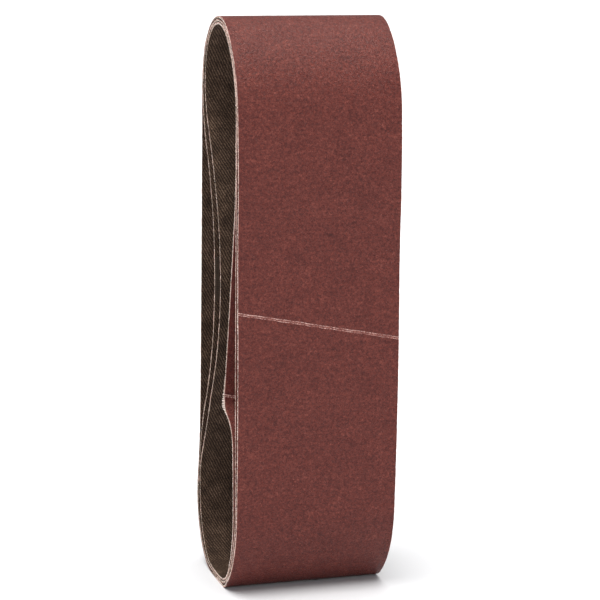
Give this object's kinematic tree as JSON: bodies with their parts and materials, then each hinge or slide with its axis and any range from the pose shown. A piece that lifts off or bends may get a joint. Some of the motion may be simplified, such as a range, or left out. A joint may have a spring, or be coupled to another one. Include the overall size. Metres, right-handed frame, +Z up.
{
  "type": "sanding belts",
  "caption": "Cloth-backed sanding belts for a hand-held belt sander, nested in one another and standing on end; each is a closed loop with a skewed taped joint.",
  "frame": {"origin": "On the floor under the middle of the outer belt's bounding box.", "axes": "X runs across the belts' width, -X to the edges that face the viewer's left. Y runs from the front run to the back run. Z is up, along the standing belts."},
  "size_m": [0.075, 0.0842, 0.2638],
  "materials": {
    "cloth": "dark olive-brown twill, resin-filled, with pale raw cut edges",
    "bond_resin": "dark red-brown phenolic resin, matte",
    "abrasive_grain": "red-brown aluminium oxide grain under a top coat of resin, fine and rough",
    "joint_glue": "pale glue, satin",
    "joint_filler": "ground resin with pale frayed edges, matte",
    "joint_tape": "thin brown film tape, satin"
  },
  "bodies": {
    "outer_belt": {"outer_belt_cloth": "cloth", "outer_belt_bond_coat": "bond_resin", "outer_belt_grain_coat": "abrasive_grain", "outer_belt_butt_glue": "joint_glue", "outer_belt_splice_filler": "joint_filler", "outer_belt_splice_tape": "joint_tape"},
    "middle_belt": {"middle_belt_cloth": "cloth", "middle_belt_bond_coat": "bond_resin", "middle_belt_grain_coat": "abrasive_grain", "middle_belt_butt_glue": "joint_glue", "middle_belt_splice_filler": "joint_filler", "middle_belt_splice_tape": "joint_tape"},
    "inner_belt": {"inner_belt_cloth": "cloth", "inner_belt_bond_coat": "bond_resin", "inner_belt_grain_coat": "abrasive_grain", "inner_belt_butt_glue": "joint_glue", "inner_belt_splice_filler": "joint_filler", "inner_belt_splice_tape": "joint_tape"}
  },
  "joints": [
    {"name": "middle_belt_pull_out", "type": "slide", "parent": "outer_belt", "child": "middle_belt", "axis": [1, 0, 0], "range_m": [-0.08, 0.08]},
    {"name": "inner_belt_pull_out", "type": "slide", "parent": "outer_belt", "child": "inner_belt", "axis": [1, 0, 0], "range_m": [-0.08, 0.08]}
  ]
}
